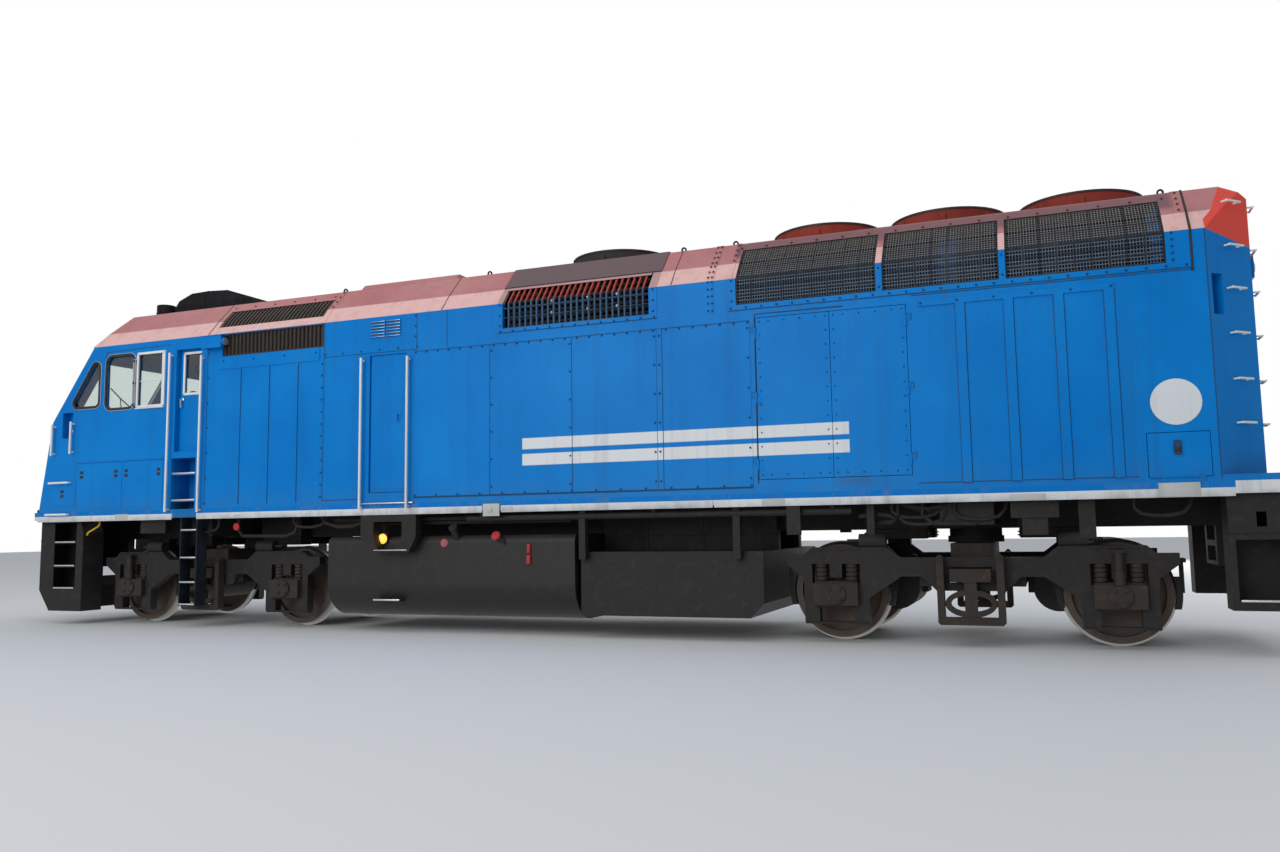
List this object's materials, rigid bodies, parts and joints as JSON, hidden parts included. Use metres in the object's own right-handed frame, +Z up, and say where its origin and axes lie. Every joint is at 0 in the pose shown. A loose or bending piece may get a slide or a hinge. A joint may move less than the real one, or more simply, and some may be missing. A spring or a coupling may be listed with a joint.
{
  "type": "four-axle full-width passenger diesel locomotive",
  "caption": "Full-width diesel passenger locomotive with sloped cab, swivelling two-axle trucks, opening doors, roof fans and swinging couplers.",
  "frame": {"origin": "midway between the trucks on the centre line, level with the lowest points of the wheel flanges", "axes": "+X to the cab end, +Y to the left side, +Z up"},
  "size_m": [17.12, 3.28, 4.8899],
  "materials": {
    "body_blue": "gloss",
    "roof_rose": "faded matt",
    "chassis_black": "dirty matt",
    "sill_grey": "worn satin",
    "rail_white": "gloss",
    "cast_steel": "dusty matt",
    "wheel_steel": "rolled bright on the tread",
    "window_glass": "clear",
    "cab_grey": "satin",
    "seat_cloth": "woven",
    "grille_dark": "sooty matt",
    "fan_red": "faded satin",
    "fan_grey": "dull",
    "hood_black": "satin",
    "lamp_glass": "clear"
  },
  "bodies": {
    "carbody": {"underframe": "chassis_black", "centre_sills": "chassis_black", "cab_side_left": "body_blue", "cab_side_right": "body_blue", "fan_guards": "chassis_black", "side_sills": "sill_grey", "cab_shell": "body_blue", "cab_roof": "roof_rose", "carbody_walls": "body_blue", "carbody_roof": "roof_rose", "cab_glass": "window_glass", "cab_fittings": "cab_grey", "seat_cushions": "seat_cloth", "engine_block": "cab_grey", "radiator_cores": "grille_dark", "radiator_grilles": "grille_dark", "brake_grid_bars": "chassis_black", "intake_louvres": "grille_dark", "fan_shrouds": "fan_red", "air_conditioner_hood": "hood_black", "roof_fittings": "chassis_black", "roof_hatches": "roof_rose", "handrails": "rail_white", "cab_steps": "rail_white", "front_pilot": "chassis_black", "rear_pilot": "chassis_black", "side_step_brackets": "chassis_black", "fuel_tank": "chassis_black", "equipment_box": "chassis_black", "underfloor_piping": "chassis_black", "headlights": "lamp_glass"},
    "truck_front": {"truck_front_frame": "cast_steel", "truck_front_suspension": "cast_steel", "truck_front_motors": "cast_steel"},
    "truck_rear": {"truck_rear_frame": "cast_steel", "truck_rear_suspension": "cast_steel", "truck_rear_motors": "cast_steel"},
    "cab_door_left": {"cab_door_left": "body_blue", "cab_door_glass_left": "window_glass"},
    "cab_door_right": {"cab_door_right": "body_blue", "cab_door_glass_right": "window_glass"},
    "wheelset_1": {"wheelset_1": "wheel_steel"},
    "wheelset_2": {"wheelset_2": "wheel_steel"},
    "wheelset_3": {"wheelset_3": "wheel_steel"},
    "wheelset_4": {"wheelset_4": "wheel_steel"},
    "coupler_front": {"coupler_front": "cast_steel"},
    "coupler_rear": {"coupler_rear": "cast_steel"},
    "rear_door": {"rear_door": "body_blue"},
    "engine_door_left": {"engine_door_left": "body_blue"},
    "engine_door_right": {"engine_door_right": "body_blue"},
    "cooler_door_front_left": {"cooler_door_front_left": "body_blue"},
    "cooler_door_front_right": {"cooler_door_front_right": "body_blue"},
    "cooler_door_rear_left": {"cooler_door_rear_left": "body_blue"},
    "cooler_door_rear_right": {"cooler_door_rear_right": "body_blue"},
    "locker_flap_left": {"locker_flap_left": "body_blue"},
    "locker_flap_right": {"locker_flap_right": "body_blue"},
    "radiator_fan_1": {"radiator_fan_1": "fan_grey"},
    "radiator_fan_2": {"radiator_fan_2": "fan_grey"},
    "radiator_fan_3": {"radiator_fan_3": "fan_grey"},
    "brake_fan": {"brake_fan": "fan_grey"}
  },
  "joints": [
    {"name": "truck_front_swivel", "type": "hinge", "parent": "carbody", "child": "truck_front", "pos_m": [5.029, 0, 1.11], "axis": [0, 0, 1], "range_deg": [-5, 5]},
    {"name": "truck_rear_swivel", "type": "hinge", "parent": "carbody", "child": "truck_rear", "pos_m": [-5.029, 0, 1.11], "axis": [0, 0, 1], "range_deg": [-5, 5]},
    {"name": "coupler_front_swing", "type": "hinge", "parent": "carbody", "child": "coupler_front", "pos_m": [7.7, 0, 0.904], "axis": [0, 0, 1], "range_deg": [-7, 7]},
    {"name": "coupler_rear_swing", "type": "hinge", "parent": "carbody", "child": "coupler_rear", "pos_m": [-7.7, 0, 0.904], "axis": [0, 0, 1], "range_deg": [-7, 7]},
    {"name": "wheelset_1_roll", "type": "hinge", "parent": "truck_front", "child": "wheelset_1", "pos_m": [6.4005, 0, 0.536], "axis": [0, 1, 0], "continuous": true},
    {"name": "wheelset_2_roll", "type": "hinge", "parent": "truck_front", "child": "wheelset_2", "pos_m": [3.6575, 0, 0.536], "axis": [0, 1, 0], "continuous": true},
    {"name": "wheelset_3_roll", "type": "hinge", "parent": "truck_rear", "child": "wheelset_3", "pos_m": [-3.6575, 0, 0.536], "axis": [0, 1, 0], "continuous": true},
    {"name": "wheelset_4_roll", "type": "hinge", "parent": "truck_rear", "child": "wheelset_4", "pos_m": [-6.4005, 0, 0.536], "axis": [0, 1, 0], "continuous": true},
    {"name": "cab_door_left_hinge", "type": "hinge", "parent": "carbody", "child": "cab_door_left", "pos_m": [4.8745, 1.4225, 3], "axis": [0, 0, 1], "range_deg": [-90, 0]},
    {"name": "engine_door_left_hinge", "type": "hinge", "parent": "carbody", "child": "engine_door_left", "pos_m": [2.048, 1.492, 2.6], "axis": [0, 0, 1], "range_deg": [0, 90]},
    {"name": "cooler_door_front_left_hinge", "type": "hinge", "parent": "carbody", "child": "cooler_door_front_left", "pos_m": [-2.948, 1.533, 2.6], "axis": [0, 0, 1], "range_deg": [-170, 0]},
    {"name": "cooler_door_rear_left_hinge", "type": "hinge", "parent": "carbody", "child": "cooler_door_rear_left", "pos_m": [-4.54, 1.533, 2.6], "axis": [0, 0, 1], "range_deg": [0, 170]},
    {"name": "locker_flap_left_hinge", "type": "hinge", "parent": "carbody", "child": "locker_flap_left", "pos_m": [-6.9445, 1.533, 1.643], "axis": [1, 0, 0], "range_deg": [-100, 0]},
    {"name": "cab_door_right_hinge", "type": "hinge", "parent": "carbody", "child": "cab_door_right", "pos_m": [4.8745, -1.4225, 3], "axis": [0, 0, 1], "range_deg": [0, 90]},
    {"name": "engine_door_right_hinge", "type": "hinge", "parent": "carbody", "child": "engine_door_right", "pos_m": [2.048, -1.492, 2.6], "axis": [0, 0, 1], "range_deg": [-90, 0]},
    {"name": "cooler_door_front_right_hinge", "type": "hinge", "parent": "carbody", "child": "cooler_door_front_right", "pos_m": [-2.948, -1.533, 2.6], "axis": [0, 0, 1], "range_deg": [0, 170]},
    {"name": "cooler_door_rear_right_hinge", "type": "hinge", "parent": "carbody", "child": "cooler_door_rear_right", "pos_m": [-4.54, -1.533, 2.6], "axis": [0, 0, 1], "range_deg": [-170, 0]},
    {"name": "locker_flap_right_hinge", "type": "hinge", "parent": "carbody", "child": "locker_flap_right", "pos_m": [-6.9445, -1.533, 1.643], "axis": [1, 0, 0], "range_deg": [0, 100]},
    {"name": "rear_door_hinge", "type": "hinge", "parent": "carbody", "child": "rear_door", "pos_m": [-7.677, 0.304, 2.6], "axis": [0, 0, 1], "range_deg": [0, 90]},
    {"name": "radiator_fan_1_spin", "type": "hinge", "parent": "carbody", "child": "radiator_fan_1", "pos_m": [-3.48, 0, 4.62], "axis": [0, 0, 1], "continuous": true},
    {"name": "radiator_fan_2_spin", "type": "hinge", "parent": "carbody", "child": "radiator_fan_2", "pos_m": [-4.88, 0, 4.62], "axis": [0, 0, 1], "continuous": true},
    {"name": "radiator_fan_3_spin", "type": "hinge", "parent": "carbody", "child": "radiator_fan_3", "pos_m": [-6.29, 0, 4.62], "axis": [0, 0, 1], "continuous": true},
    {"name": "brake_fan_spin", "type": "hinge", "parent": "carbody", "child": "brake_fan", "pos_m": [-0.775, 0, 4.62], "axis": [0, 0, 1], "continuous": true}
  ]
}
